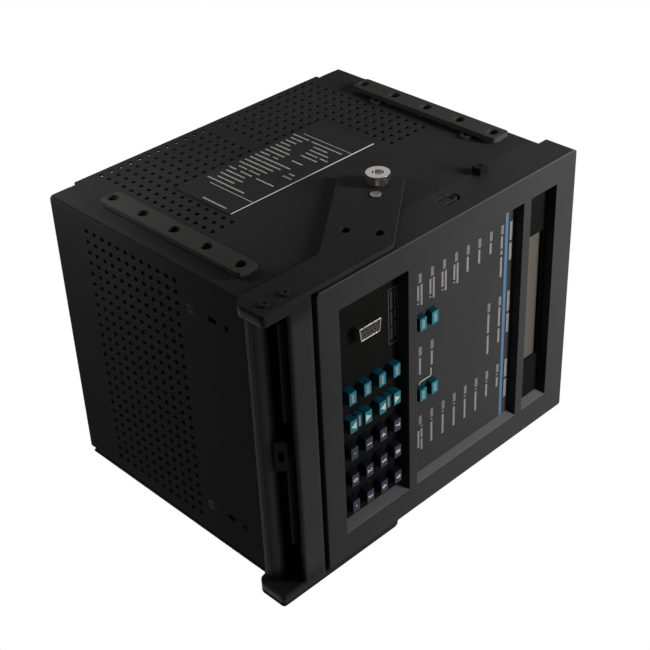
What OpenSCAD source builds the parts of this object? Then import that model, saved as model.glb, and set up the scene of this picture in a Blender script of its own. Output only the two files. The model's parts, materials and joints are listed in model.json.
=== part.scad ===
// Withdrawable protection relay: perforated chassis, front bezel with keys, swing handle.
// Millimetres. +Z is up and the front faces -Y; the handle's foot stands at z = 0.

/* [Bezel] */
// Width across the front
bezel_w = 190; // [182:1:200]
// Depth of the bezel's side walls
bezel_d = 26.8; // [25:0.2:32]
// Wall of the bezel moulding
bezel_wall = 2.5; // [2:0.1:3]
// Radius of the bezel's outer corners
bezel_r = 3; // [1.5:0.5:5]
// Radius of the bezel's front edges
front_r = 0.8; // [0.5:0.1:1.6]
// Width of the three front openings
opening_w = 155.2; // [148:0.2:160]
// Sideways shift of the openings
opening_x = -0.8; // [-2:0.1:2]
// Frame below the keypad opening
frame_bottom = 15.2; // [12:0.2:18]
// Bar between neighbouring openings
frame_bar = 6.6; // [5.5:0.1:9]
// Frame above the display opening
frame_top = 18.1; // [16:0.1:22]
// Height of the keypad opening
keypad_h = 53.5; // [50:0.5:58]
// Height of the indicator opening
led_h = 93.1; // [90:0.1:99]
// Height of the display opening
display_h = 24.2; // [22:0.2:28]
// Depth of the keypad floor
keypad_depth = 7.5; // [6.5:0.1:8]
// Depth of the indicator floor
led_depth = 6; // [5:0.1:7]
// Depth of the display floor
display_depth = 6.5; // [5.5:0.1:7]
// Thickness of the floor plates
floor_t = 2; // [1.5:0.1:2.4]

/* [Chassis] */
// Depth from the bezel's front to the rear edge of the side panels
unit_d = 194.2; // [186:0.2:206]
// Chassis bottom below the bezel's lower edge
chassis_drop = 27.2; // [24:0.2:30]
// Chassis top below the bezel's top
chassis_step = 9.7; // [8:0.1:12]
// Sheet thickness
sheet_t = 1.6; // [1.2:0.1:2]
// Outside radius of the folded edges
bend_r = 2.6; // [2.2:0.1:3.4]
// Height of the folded flanges
flange_h = 14; // [10:0.5:18]
// Diameter of the vent holes
vent_d = 3.5; // [3:0.1:3.6]
// Pitch of the vent holes
vent_pitch = 7.15; // [6.6:0.05:7.3]

/* [Keys] */
// Width of a key's face
key_w = 8.5; // [7.5:0.1:9.5]
// Height of a key's face
key_h = 5.7; // [5:0.1:6.2]
// Column pitch of the keypad
key_pitch_x = 19.45; // [18:0.05:20.5]
// Row pitch of the keypad
key_pitch_z = 11.83; // [10.8:0.01:12.6]
// Gap around a key
key_gap = 0.3; // [0.2:0.05:0.5]
// Row pitch of the indicator windows
led_pitch = 10.25; // [9.4:0.05:10.6]

/* [Handle] */
// Handle foot below the bezel's lower edge
foot_drop = 36.2; // [34:0.2:40]
// Thickness of the arm plates
arm_t = 2.6; // [2:0.1:3.2]
// Gap between the bezel's side and an arm
arm_gap = 1.6; // [1.3:0.1:2]
// Width of the arm's lower leg
leg_w = 22.6; // [20:0.2:25]
// Width of the arm's slanted strap
strap_w = 38.5; // [35:0.5:42]
// Pivot behind the bezel's front
pivot_y = 45.1; // [43:0.1:48]
// Pivot above the bezel's lower edge
pivot_h = 91; // [88:0.2:95]
// Outside diameter of the guide rollers
roller_d = 14.3; // [13:0.1:16]
// Length of the guide rollers
roller_l = 5.2; // [4.6:0.1:6]
// Diameter of the grip bar
grip_d = 10.8; // [9.5:0.1:11.5]

/* [Rails] */
// Thickness of the guide rails
rail_t = 3; // [2.6:0.1:3.6]
// Width of the guide rails
rail_w = 14; // [13:0.1:15.5]
// Length of the guide rails
rail_l = 119.3; // [114:0.1:125]

/* [Hidden] */
$fn = 48;
eps = 0.01;
slip = 0.1;
run_gap = 0.05;

half_w = bezel_w / 2;
bezel_z = foot_drop;
keypad_z = bezel_z + frame_bottom;
led_z = keypad_z + keypad_h + frame_bar;
display_z = led_z + led_h + frame_bar;
bezel_top = display_z + display_h + frame_top;
chassis_z = bezel_z - chassis_drop;
chassis_top = bezel_top - chassis_step;
inner_w = half_w - sheet_t;
rear_reach = 6;
overall_d = unit_d + rear_reach;

// Bezel inside
well_wall = 2;
lid_d = bezel_d - 5.3;
rib_d = 6.5;
rib_h = 2.7;
board_t = 1.6;
board_y = 13.2;
boss_d = 7;
boss_x = half_w - 9;

// Chassis inside
front_y = bezel_d;
rear_y = unit_d - 3.3;
guide_w = 6;
guide_h = 5;
card_x = 30;
card_front = front_y + 8;
card_rear = rear_y - 7;
card_l = card_rear - card_front;
coil_pitch = card_l / 3.4;
coil_y = card_front + card_l / 10.6;
relay_pitch = card_l / 4.4;
relay_y = card_front + card_l / 12.4;

// Vent fields
plate_clear = 3;
vent_rear = unit_d - 4.9;
side_vent_front = front_y + 62.4;
side_vent_cols = 15;
side_vent_rows = 12;
side_vent_low = bezel_z + 7.2;
side_vent_high = bezel_z + 100.4;
side_vent_step = (vent_rear - side_vent_front) / (side_vent_cols - 1);
pan_vent_cols = 12;
pan_vent_rows = 24;
pan_vent_rear = unit_d - 33.7;
pan_vent_front = front_y + 55.05;
pan_vent_step = (pan_vent_rear - pan_vent_front) / (pan_vent_cols - 1);

// Nameplate on the left panel
plate_t = 0.8;
plate_y = 95.3;
plate_w = 47.7;
plate_z = bezel_z + 25.5;
plate_h = 117;

// Keys and indicators
key_face_y = 2;
key_draft = 0.3;
key_flange = 1;
key_lip = 0.9;
key_travel = 1.2;
key_col_x = -14.7;
key_row_z = keypad_z + keypad_h - 7.8;
panel_key_x = [-35.1, 14.5];
panel_key_z = [led_z + 17.9, led_z + 7.9];
led_w = 6;
led_bar_h = 2.6;
led_col_x = [-63.4, -13.7, 36.2];
led_top_z = led_z + led_h - 12.2;
led_rows = 8;
led_gap_rows = [2, 3, 4, 5];

// Nine-way port
port_x = -52.5;
port_z = keypad_z + 25.3;
port_w = 8.3;
port_l = 17;
port_taper = 1.2;
port_wall = 0.5;
port_pitch = 2.77;

// Handle
pivot_z = bezel_z + pivot_h;
arm_in = half_w + arm_gap;
arm_out = arm_in + arm_t;
grip_in = half_w - 3;
grip_y = 0.8;
strap_angle = 51.8;
strap_front = 14.6;
roller_step = 13.3;
strap_end = roller_step + 12.4;
knee_r = 8;
strap_r = 4;
foot_r = 2;
heel_r = 6;
swing_r = norm([pivot_y, pivot_h]) + 0.5;
strip_t = 2.8;
strip_low = bezel_z - 18.3;
strip_top = bezel_z - 3;
bar_y = grip_y + leg_w - grip_d / 2;
bar_z = 10.2;
rivet_d = 4.5;
rivet_head = 6.4;
pin_d = 6.1;
arm_screw_z = [8.1, 22.2];
arm_screw_y = grip_y + 7.5;

// Latch behind the grip strip
latch_t = 1.5;
latch_y = grip_y + strip_t + 1.9;
latch_travel = 2;
latch_slip = 0.2;
latch_low = bezel_z - 21.9;
latch_top = bezel_z - 6.6;
latch_left = -86;
latch_gap = [-23, 0];
latch_step = 42.5;
latch_tip = 65;
latch_finger_h = 4.4;
bridge_low = bezel_z - 15.6;
bridge_top = bezel_z - 12.8;
latch_tab_w = 20;
latch_tab_l = 7.2;
guide_pin_x = [-55, 34];
guide_pin_z = bezel_z - 9.6;
guide_pin_d = 3.4;
spring_w = 18;
spring_t = 0.4;
spring_x = -11.5;
ledge_z = bridge_top + 4.9;

// Rails
rail_gap = 1.5;
rail_y = 39.6;
rail_upper_z = chassis_top - 12.8;
rail_lower_z = chassis_z + 17.2;
rail_screw_y = rail_y + 6.8;
rail_screws_n = 5;
rail_pitch = (rail_l - 11.02) / (rail_screws_n - 1);
rail_shank = 4;
rail_bore = 4.4;
rail_head = 6.4;
rail_sink = 3.5;
rail_boss = 12;
rail_seat = half_w + rail_gap + rail_t - rail_sink;

steel_black = [0.11, 0.11, 0.115];
plastic_black = [0.08, 0.08, 0.085];
bezel_grey = [0.26, 0.25, 0.26];
bright = [0.75, 0.74, 0.7];
board_green = [0.1, 0.32, 0.2];
teal = [0.2, 0.5, 0.57];
navy = [0.16, 0.17, 0.3];

// Shared shapes

// A 2D outline in X and Z, given a thickness backwards from y0
module xz_plate(y0, t) translate([0, y0 + t, 0]) rotate([90, 0, 0]) linear_extrude(t) children();

// A 2D outline in Y and Z, given a thickness to the right from x0
module yz_plate(x0, t) translate([x0, 0, 0]) rotate([90, 0, 90]) linear_extrude(t) children();

// A round bar along X from x0
module x_rod(x0, length, d, y, z) translate([x0, y, z]) rotate([0, 90, 0]) cylinder(d = d, h = length);

// The same piece on both sides
module both_sides() {
    children();
    mirror([1, 0, 0]) children();
}

module centred(w, h) translate([-w / 2, -h / 2]) square([w, h]);

module round_rect(w, h, r) {
    centred(w - 2 * r, h);
    centred(w, h - 2 * r);
    for (sx = [-1, 1], sz = [-1, 1]) translate([sx * (w / 2 - r), sz * (h / 2 - r)]) circle(r = r);
}

// What a rounded corner at p loses, between edges that leave it along d1 and d2
module corner_loss(p, d1, d2, r) {
    half = acos(d1 * d2) / 2;
    bisector = (d1 + d2) / norm(d1 + d2);
    reach = r / tan(half);
    middle = p + bisector * (r / sin(half));
    difference() {
        polygon([p - bisector * r, p + d1 * reach, middle, p + d2 * reach]);
        translate(middle) circle(r = r);
    }
}

// Chassis

module side_outline() {
    corner = 18;
    cut = 2.9;
    difference() {
        translate([front_y, chassis_z]) square([unit_d - front_y, chassis_top - chassis_z]);
        for (z = [chassis_z - eps, chassis_top - corner])
            translate([unit_d - cut, z]) square([cut + eps, corner + eps]);
    }
}

module side_vents(clear_plate) {
    for (group = [side_vent_low, side_vent_high], i = [0 : side_vent_cols - 1], j = [0 : side_vent_rows - 1]) {
        y = vent_rear - i * side_vent_step;
        z = group + j * vent_pitch;
        hidden = y < plate_y + plate_w + plate_clear && z > plate_z - plate_clear && z < plate_z + plate_h + plate_clear;
        if (!(clear_plate && hidden)) translate([y, z]) circle(d = vent_d, $fn = 24);
    }
}

module side_panel_2d(clear_plate) difference() {
    side_outline();
    side_vents(clear_plate);
    translate([pivot_y, pivot_z]) circle(d = rivet_d + 2 * run_gap);
    for (z = [rail_lower_z, rail_upper_z], i = [0 : rail_screws_n - 1])
        translate([rail_screw_y + i * rail_pitch, z]) circle(d = rail_bore);
}

module left_side_panel() color(steel_black) yz_plate(-half_w, sheet_t) side_panel_2d(true);

module right_side_panel() color(steel_black) yz_plate(half_w - sheet_t, sheet_t) side_panel_2d(false);

// Folded flange along one side of a cover, its outer corner at the bend radius
module fold_2d() {
    difference() {
        translate([inner_w - bend_r, 0]) square(bend_r);
        translate([inner_w - bend_r - eps, bend_r]) square(bend_r);
        difference() {
            translate([inner_w - bend_r, 0]) square(bend_r + eps);
            translate([inner_w - bend_r, bend_r]) circle(r = bend_r);
        }
        translate([inner_w - bend_r, bend_r]) circle(r = bend_r - sheet_t);
    }
    translate([inner_w - sheet_t, bend_r]) square([sheet_t, flange_h - bend_r]);
}

screw_hole = 3.4;
screw_head = 6.2;
screw_l = 5;
pan_screw_x = inner_w - 24.1;
pan_screw_y = front_y + 44.1;
pan_slot_y = front_y + 25.7;
pan_hole_y = front_y + 14.2;

module pan_face_2d() difference() {
    translate([-inner_w + bend_r, front_y]) square([2 * (inner_w - bend_r), unit_d - front_y]);
    for (i = [0 : pan_vent_cols - 1], j = [0 : pan_vent_rows - 1])
        translate([(j - (pan_vent_rows - 1) / 2) * vent_pitch, pan_vent_rear - i * pan_vent_step])
            circle(d = vent_d, $fn = 24);
    for (s = [-1, 1]) {
        translate([s * pan_screw_x, pan_screw_y]) circle(d = screw_hole);
        translate([s * pan_screw_x, pan_hole_y]) circle(d = screw_hole);
        translate([s * pan_screw_x, pan_slot_y]) round_rect(4, 7, 1.9);
    }
}

module each_pan_screw() for (s = [-1, 1]) translate([s * pan_screw_x, pan_screw_y, 0]) children();

// Cone of a flush screw head, its wide end on the outer face
module screw_cone() cylinder(d1 = screw_head, d2 = screw_hole, h = sheet_t);

module folded_cover() {
    difference() {
        linear_extrude(sheet_t) pan_face_2d();
        each_pan_screw() screw_cone();
    }
    both_sides() xz_plate(front_y, unit_d - front_y) fold_2d();
}

module flush_screw() {
    difference() {
        screw_cone();
        translate([-0.5, -screw_head, -eps]) cube([1, 2 * screw_head, 0.6]);
    }
    translate([0, 0, sheet_t - eps]) cylinder(d = screw_hole - 2 * slip, h = screw_l);
}

module bottom_pan() color(steel_black) translate([0, 0, chassis_z]) folded_cover();

module top_cover() color(steel_black) translate([0, 0, chassis_top]) mirror([0, 0, 1]) folded_cover();

connector_w = 40;
connector_h = 60;
connector_x = 42;
connector_pitch = 70;
connector_mid = (chassis_z + chassis_top) / 2;

module each_connector()
    for (sx = [-1, 1], k = [-1 : 1])
        translate([sx * connector_x, connector_mid + k * connector_pitch]) children();

module rear_panel() color(steel_black) xz_plate(rear_y, sheet_t) difference() {
    translate([-inner_w + sheet_t, chassis_z + sheet_t])
        square([2 * (inner_w - sheet_t), chassis_top - chassis_z - 2 * sheet_t]);
    each_connector() centred(connector_w + 2 * slip, connector_h + 2 * slip);
}

module rear_connectors() color(plastic_black) {
    lip = 2;
    contact_rows = 8;
    xz_plate(rear_y - 7, unit_d + rear_reach - rear_y + 7) each_connector() difference() {
        centred(connector_w, connector_h);
        for (sx = [-1, 1], k = [0 : contact_rows - 1])
            translate([sx * connector_w / 4, (k - (contact_rows - 1) / 2) * connector_h / (contact_rows + 0.6)])
                centred(connector_w / 3, 3);
    }
    xz_plate(rear_y - 7, 4) each_connector() centred(connector_w - 2 * lip, connector_h - 2 * lip);
    xz_plate(rear_y - lip, lip) each_connector() difference() {
        centred(connector_w + 2 * lip, connector_h + 2 * lip);
        centred(connector_w - lip, connector_h - lip);
    }
}

plate_low = bezel_top - chassis_step - bezel_wall;

// Plate behind the bezel, and a thicker apron below it that closes the gap to the handle
module front_plate() color(steel_black) {
    apron_y = leg_back + 2 * slip;
    apron_w = 2 * (arm_in - 4 * slip);
    xz_plate(front_y - sheet_t, sheet_t) difference() {
        translate([-half_w + bezel_wall, chassis_z]) square([2 * (half_w - bezel_wall), plate_low - chassis_z]);
        translate([0, led_z + led_h / 2]) round_rect(60, 50, 4);
    }
    xz_plate(apron_y, front_y - apron_y) translate([-apron_w / 2, chassis_z]) square([apron_w, bezel_z - chassis_z]);
}

module nameplate() color([0.2, 0.19, 0.18]) yz_plate(-half_w - plate_t, plate_t)
    translate([plate_y + plate_w / 2, plate_z + plate_h / 2]) round_rect(plate_w, plate_h, 1);

module chassis_screws() color(steel_black) each_pan_screw() {
    translate([0, 0, chassis_z]) flush_screw();
    translate([0, 0, chassis_top]) mirror([0, 0, 1]) flush_screw();
}

// Rails

module each_rail_screw()
    for (i = [0 : rail_screws_n - 1]) translate([rail_screw_y + i * rail_pitch, 0]) children();

// Bar moulded with a round boss under each screw; the screw's head lies deep inside
module guide_rails() color(plastic_black) both_sides() for (z = [rail_lower_z, rail_upper_z]) difference() {
    union() {
        yz_plate(half_w + rail_gap, rail_t) translate([rail_y + rail_l / 2, z]) round_rect(rail_l, rail_w, 2);
        yz_plate(half_w, rail_gap + eps) translate([0, z]) each_rail_screw() circle(d = rail_boss);
    }
    yz_plate(half_w - eps, rail_gap + rail_t) translate([0, z]) each_rail_screw() circle(d = rail_bore);
    yz_plate(rail_seat, rail_sink + eps) translate([0, z]) each_rail_screw() circle(d = rail_head + 0.8);
}

// Eyelets between the panel and the upper rail's lower edge
module rail_spacers() color(plastic_black) both_sides() for (step = [0.5, 3.28])
    yz_plate(half_w, rail_gap) translate([rail_screw_y + step * rail_pitch, rail_upper_z - rail_w / 2 - 1.5])
        difference() {
            circle(d = 8);
            circle(d = 4.6);
        }

module rail_screws() color(steel_black) both_sides()
    for (z = [rail_lower_z, rail_upper_z], i = [0 : rail_screws_n - 1]) {
        y = rail_screw_y + i * rail_pitch;
        difference() {
            x_rod(rail_seat, 0.8, rail_head, y, z);
            x_rod(rail_seat + 0.3, 1, 2.6, y, z);
        }
        x_rod(inner_w, rail_seat - inner_w + eps, rail_shank, y, z);
    }

// Bezel and front panels

module bezel_side_2d() {
    up = [0, 1];
    back = [1, 0];
    difference() {
        union() {
            translate([0, bezel_z]) square([lid_d, bezel_top - bezel_z]);
            translate([0, bezel_z]) square([bezel_d, chassis_top - bezel_z]);
        }
        corner_loss([0, bezel_z], up, back, front_r);
        corner_loss([0, bezel_top], -up, back, front_r);
    }
}

module bezel_plan_2d() difference() {
    translate([-half_w, 0]) square([bezel_w, bezel_d]);
    corner_loss([-half_w, 0], [1, 0], [0, 1], front_r);
    corner_loss([half_w, 0], [-1, 0], [0, 1], front_r);
}

module opening_2d(z, h, grow) translate([opening_x, z + h / 2]) centred(opening_w + 2 * grow, h + 2 * grow);

module well(z, h, depth) xz_plate(bezel_wall - eps, depth - bezel_wall + eps) opening_2d(z, h, well_wall);

lug_y = bezel_d - 6.4;
lug_z = bezel_z + 152.3;
lug_h = 6.6;
lug_reach = 4.8;
catch_y = bezel_d - 10.7;
catch_z = bezel_z + 113.5;
catch_h = 14.1;
catch_w = 8.6;
catch_slit = 1.9;

// Slit around a spring catch, open at its lower end
module catch_slit_2d() translate([catch_y, catch_z]) difference() {
    union() {
        translate([-catch_w / 2, 0]) square([catch_w, catch_h - catch_w / 2]);
        translate([0, catch_h - catch_w / 2]) circle(d = catch_w);
    }
    translate([-catch_w / 2 + catch_slit, -eps]) square([catch_w - 2 * catch_slit, catch_h - catch_w / 2]);
    translate([0, catch_h - catch_w / 2 - eps]) circle(d = catch_w - 2 * catch_slit);
}

module bezel() color(bezel_grey) difference() {
    union() {
        difference() {
            intersection() {
                xz_plate(0, bezel_d) translate([0, (bezel_z + bezel_top) / 2])
                    round_rect(bezel_w, bezel_top - bezel_z, bezel_r);
                yz_plate(-half_w, bezel_w) bezel_side_2d();
                translate([0, 0, bezel_z]) linear_extrude(bezel_top - bezel_z) bezel_plan_2d();
            }
            translate([-half_w + bezel_wall, bezel_wall, bezel_z + bezel_wall])
                cube([bezel_w - 2 * bezel_wall, bezel_d, plate_low - bezel_z - bezel_wall]);
            translate([-half_w + bezel_wall, bezel_wall, plate_low - eps])
                cube([bezel_w - 2 * bezel_wall, lid_d - 2 * bezel_wall, bezel_top - bezel_wall - plate_low + eps]);
            translate([-half_w + bezel_wall, bezel_d - sheet_t, bezel_z - eps])
                cube([bezel_w - 2 * bezel_wall, sheet_t + eps, bezel_wall + 2 * eps]);
        }
        translate([-half_w + 6, lid_d - rib_d, bezel_top - eps]) cube([bezel_w - 12, rib_d, rib_h + eps]);
        well(keypad_z, keypad_h, keypad_depth);
        well(led_z, led_h, led_depth);
        well(display_z, display_h, display_depth);
        both_sides() {
            yz_plate(half_w - eps, lug_reach + eps) translate([lug_y, lug_z]) square([bezel_d - lug_y, lug_h]);
            translate([half_w - eps, catch_y, catch_z + catch_h - catch_w / 2]) rotate([0, 90, 0])
                cylinder(d1 = 4.2, d2 = 2.6, h = 0.9);
            for (z = [keypad_z + 6, led_z + 20, led_z + led_h - 6])
                translate([boss_x, 0, z]) xz_plate(bezel_wall - eps, board_y - bezel_wall + eps)
                    circle(d = boss_d);
        }
    }
    xz_plate(-eps, keypad_depth + 2 * eps) opening_2d(keypad_z, keypad_h, 0);
    xz_plate(-eps, led_depth + 2 * eps) opening_2d(led_z, led_h, 0);
    xz_plate(-eps, display_depth + 2 * eps) opening_2d(display_z, display_h, 0);
    both_sides() {
        yz_plate(half_w - bezel_wall - eps, bezel_wall + 2 * eps) catch_slit_2d();
        x_rod(half_w + 1, lug_reach, 2.2, (lug_y + bezel_d) / 2, lug_z + lug_h / 2);
    }
}

glass_w = 92;
glass_h = display_h - 5;

module display_window() color(plastic_black) xz_plate(display_depth, floor_t) difference() {
    opening_2d(display_z, display_h, well_wall);
    translate([0, display_z + display_h / 2]) centred(glass_w, glass_h);
}

module display_module() color([0.5, 0.48, 0.45]) {
    glass_y = display_depth + floor_t;
    xz_plate(glass_y, board_y - glass_y) translate([0, display_z + display_h / 2])
        centred(glass_w + 6, glass_h + 2);
}

module each_led() for (c = [0 : len(led_col_x) - 1], k = [0 : led_rows - 1])
    if (c != 1 || len(search(k, led_gap_rows)) == 0)
        translate([led_col_x[c], led_top_z - k * led_pitch]) children();

module key_hole_2d() centred(key_w + 2 * (key_draft + key_gap), key_h + 2 * (key_draft + key_gap));

module led_panel() color(bezel_grey) xz_plate(led_depth, floor_t) difference() {
    opening_2d(led_z, led_h, well_wall);
    each_led() centred(led_w + 2 * slip, led_bar_h + 2 * slip);
    for (x = panel_key_x, z = panel_key_z) translate([x, z]) key_hole_2d();
}

module led_light_pipes() color([0.6, 0.59, 0.58]) {
    proud = 0.2;
    back = led_depth + floor_t;
    xz_plate(led_depth - proud, board_y - led_depth + proud) each_led() centred(led_w, led_bar_h);
    xz_plate(back, 1) each_led() centred(led_w + 2, led_bar_h + 2);
}

module port_2d(grow) {
    w = port_w / 2 + grow;
    l = port_l / 2 + grow;
    translate([port_x, port_z]) polygon([[-w, -l], [w, -l + port_taper], [w, l - port_taper], [-w, l]]);
}

module keypad_plate() color(plastic_black) xz_plate(keypad_depth, floor_t) difference() {
    opening_2d(keypad_z, keypad_h, well_wall);
    for (c = [0 : 4], r = [0 : 3]) translate([key_col_x + c * key_pitch_x, key_row_z - r * key_pitch_z])
        key_hole_2d();
    port_2d(slip);
}

module port_shell() color(bright) {
    back = keypad_depth + floor_t;
    xz_plate(key_face_y, board_y - key_face_y) difference() {
        port_2d(0);
        port_2d(-port_wall);
    }
    xz_plate(back, 0.8) difference() {
        port_2d(3);
        port_2d(-port_wall);
    }
}

module port_insert() color([0.55, 0.53, 0.48]) difference() {
    xz_plate(key_face_y + 0.6, board_y - key_face_y - 0.6) port_2d(-port_wall);
    for (row = [0, 1], k = [0 : 4 - row])
        translate([port_x + (row - 0.5) * 2.84, 0, port_z + (k - (4 - row) / 2) * port_pitch])
            xz_plate(key_face_y, 4) circle(d = 1.2);
}

module front_board() color(board_green) {
    xz_plate(board_y, board_t) translate([0, (keypad_z + display_z + display_h) / 2])
        centred(2 * boss_x + boss_d, display_z + display_h - keypad_z + 4);
    xz_plate(board_y + board_t - eps, front_y - board_y - 2) translate([0, led_z + led_h / 2])
        centred(46, 8);
}

// A key: drafted cap, shaft through its plate, flange behind the plate and a tail towards the board
module key_blank(x, z, plate_depth) translate([x, 0, z]) {
    back = plate_depth + floor_t + key_gap;
    hull() {
        xz_plate(key_face_y, 0.2) centred(key_w - 0.5, key_h - 0.5);
        xz_plate(key_face_y + 0.3, 0.2) centred(key_w, key_h);
        xz_plate(plate_depth - 0.4, 0.2) centred(key_w + 2 * key_draft, key_h + 2 * key_draft);
    }
    xz_plate(plate_depth - 0.3, back - plate_depth + 0.3 + eps)
        centred(key_w + 2 * key_draft, key_h + 2 * key_draft);
    xz_plate(back, key_flange) centred(key_w + 2 * (key_draft + key_gap + key_lip),
        key_h + 2 * (key_draft + key_gap + key_lip));
    xz_plate(back + key_flange - eps, board_y - key_travel - 0.2 - back - key_flange + eps) centred(4, 3);
}

module panel_key(i, j) color(teal) key_blank(panel_key_x[i], panel_key_z[j], led_depth);

module keypad_key(r, c) color(c < 3 ? teal : navy)
    key_blank(key_col_x + (c - 1) * key_pitch_x, key_row_z - (r - 1) * key_pitch_z, keypad_depth);

// Inside the chassis

module card_2d() translate([card_front, chassis_z + sheet_t + 1])
    square([card_rear - card_front, chassis_top - chassis_z - 2 * sheet_t - 2]);

module main_board() color(board_green) yz_plate(-card_x - board_t / 2, board_t) card_2d();

module io_board() color(board_green) yz_plate(card_x - board_t / 2, board_t) card_2d();

module card_guides() color(plastic_black) both_sides() for (flip = [0, 1])
    translate([card_x, card_front, flip ? chassis_top - sheet_t : chassis_z + sheet_t]) mirror([0, 0, flip])
        difference() {
            translate([-guide_w / 2, 0, 0]) cube([guide_w, card_rear - card_front, guide_h]);
            translate([-board_t / 2 - slip, -1, 1]) cube([board_t + 2 * slip, unit_d, guide_h]);
        }

module transformers() color([0.3, 0.26, 0.2]) for (i = [0, 1, 2], j = [0, 1])
    translate([card_x + board_t / 2, coil_y + i * coil_pitch, chassis_z + 40 + j * 70]) {
        cube([30, 30, 34]);
        translate([4, -3, 6]) cube([22, 36, 22]);
    }

module output_relays() color([0.2, 0.3, 0.45]) for (i = [0, 1, 2, 3], j = [0, 1])
    translate([-card_x - board_t / 2 - 16, relay_y + i * relay_pitch, chassis_z + 36 + j * 60])
        cube([16, 28, 13]);

// Handle

up_strap = [cos(strap_angle), sin(strap_angle)];
across = [sin(strap_angle), -cos(strap_angle)];
pivot = [pivot_y, pivot_z];
roller_at = pivot + up_strap * roller_step;
strap_top_front = pivot + up_strap * strap_end - across * strap_front;
strap_top_rear = pivot + up_strap * strap_end + across * (strap_w - strap_front);
knee = strap_top_front - up_strap * ((strap_top_front[0] - grip_y) / up_strap[0]);
leg_back = grip_y + leg_w;
strap_foot = strap_top_rear - up_strap * ((strap_top_rear[0] - leg_back) / up_strap[0]);

module foot_losses() {
    corner_loss([grip_y, 0], [0, 1], [1, 0], foot_r);
    corner_loss([leg_back, 0], [0, 1], [-1, 0], heel_r);
}

module arm_2d() difference() {
    polygon([[grip_y, 0], [leg_back, 0], strap_foot, strap_top_rear, strap_top_front, knee]);
    foot_losses();
    corner_loss(knee, [0, -1], up_strap, knee_r);
    corner_loss(strap_top_front, -up_strap, across, strap_r);
    corner_loss(strap_top_rear, -up_strap, -across, strap_r);
    translate(pivot) circle(d = rivet_d + 2 * run_gap);
    translate(roller_at) circle(d = pin_d + 2 * run_gap);
    translate([grip_y + 29.6, bezel_z + 51.6]) circle(d = 6);
    translate([grip_y + 13.9, bezel_z + 61.7]) circle(d = 6);
    for (z = arm_screw_z) translate([arm_screw_y, z]) circle(d = 3.4);
}

module arm_right() color(steel_black) yz_plate(arm_in, arm_t) arm_2d();

module arm_left() color(steel_black) mirror([1, 0, 0]) yz_plate(arm_in, arm_t) arm_2d();

module arm_screws() color(steel_black) both_sides() for (z = arm_screw_z) {
    difference() {
        x_rod(arm_out, 1.2, 6, arm_screw_y, z);
        x_rod(arm_out + 0.6, 1, 2.6, arm_screw_y, z);
    }
    x_rod(grip_in + 1.4, arm_out - grip_in - 1.4 + eps, 3, arm_screw_y, z);
}

module pivot_pins() color(bright) both_sides() {
    x_rod(inner_w - 1.2, 1.2, 8, pivot_y, pivot_z);
    x_rod(inner_w - eps, arm_out + 0.2 - inner_w, rivet_d, pivot_y, pivot_z);
    x_rod(half_w, arm_gap - slip, 12, pivot_y, pivot_z);
    x_rod(arm_out + slip, 0.7, rivet_head, pivot_y, pivot_z);
}

// Rod on the roller's axis
module roller_rod(x0, length, d) x_rod(x0, length, d, roller_at[0], roller_at[1]);

roller_x = arm_out + 2.4;
roller_seat = 2.2;

// Riveted pin with a shoulder below the roller and a head sunk into it
module roller_pins() color(bright) both_sides() {
    roller_rod(arm_in - 0.8, 0.8, 9);
    roller_rod(arm_in - eps, arm_t + 2 * eps, pin_d);
    roller_rod(arm_out, roller_x - slip - arm_out, 9);
    roller_rod(arm_out, roller_x - arm_out + roller_seat + 0.5, 4);
    roller_rod(roller_x + roller_seat + slip, 1.2, 6.4);
}

module roller() difference() {
    roller_rod(roller_x, roller_l, roller_d);
    roller_rod(roller_x - eps, roller_l, 4 + 2 * run_gap);
    roller_rod(roller_x + roller_seat, roller_l, 6.9);
}

module roller_right() color(bright) roller();

module roller_left() color(bright) mirror([1, 0, 0]) roller();

module grip_end_2d() difference() {
    translate([grip_y, 0]) square([leg_w, strip_top]);
    foot_losses();
    translate(pivot) circle(r = swing_r, $fn = 180);
}

strip_back = grip_y + strip_t;
latch_back = latch_y + latch_t + latch_slip;

module handle_grip() color(bezel_grey) difference() {
    union() {
        both_sides() yz_plate(grip_in, arm_in - grip_in) grip_end_2d();
        yz_plate(-grip_in - eps, 2 * (grip_in + eps)) {
            translate([grip_y, strip_low]) square([strip_t, strip_top - strip_low]);
            translate([bar_y, bar_z]) circle(d = grip_d);
            for (a = [-110 : 20 : -50])
                translate([bar_y + cos(a) * grip_d / 2, bar_z + sin(a) * grip_d / 2]) circle(r = 0.4, $fn = 16);
        }
        for (x = guide_pin_x) translate([x, 0, guide_pin_z]) guide_pin();
        translate([spring_x - 4, strip_back - eps, ledge_z]) cube([8, latch_back - strip_back, 1.5]);
    }
    both_sides() for (z = arm_screw_z) x_rod(grip_in + 1, arm_in - grip_in, 3, arm_screw_y, z);
}

// Staked pin on the strip's back: a shoulder, the pin through the latch's slot and a flattened head
module guide_pin() {
    xz_plate(strip_back - eps, latch_y - slip - strip_back + eps) circle(d = guide_pin_d + 2);
    xz_plate(strip_back - eps, latch_back - strip_back + 2 * eps) circle(d = guide_pin_d);
    xz_plate(latch_back, 1) circle(d = guide_pin_d + 2);
}

// Slot that lets the latch rise past its pin
module guide_slot_2d() {
    w = guide_pin_d + 2 * latch_slip;
    h = w + latch_travel;
    translate([0, w / 2 - h / 2]) round_rect(w, h, w / 2 - eps);
}

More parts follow.
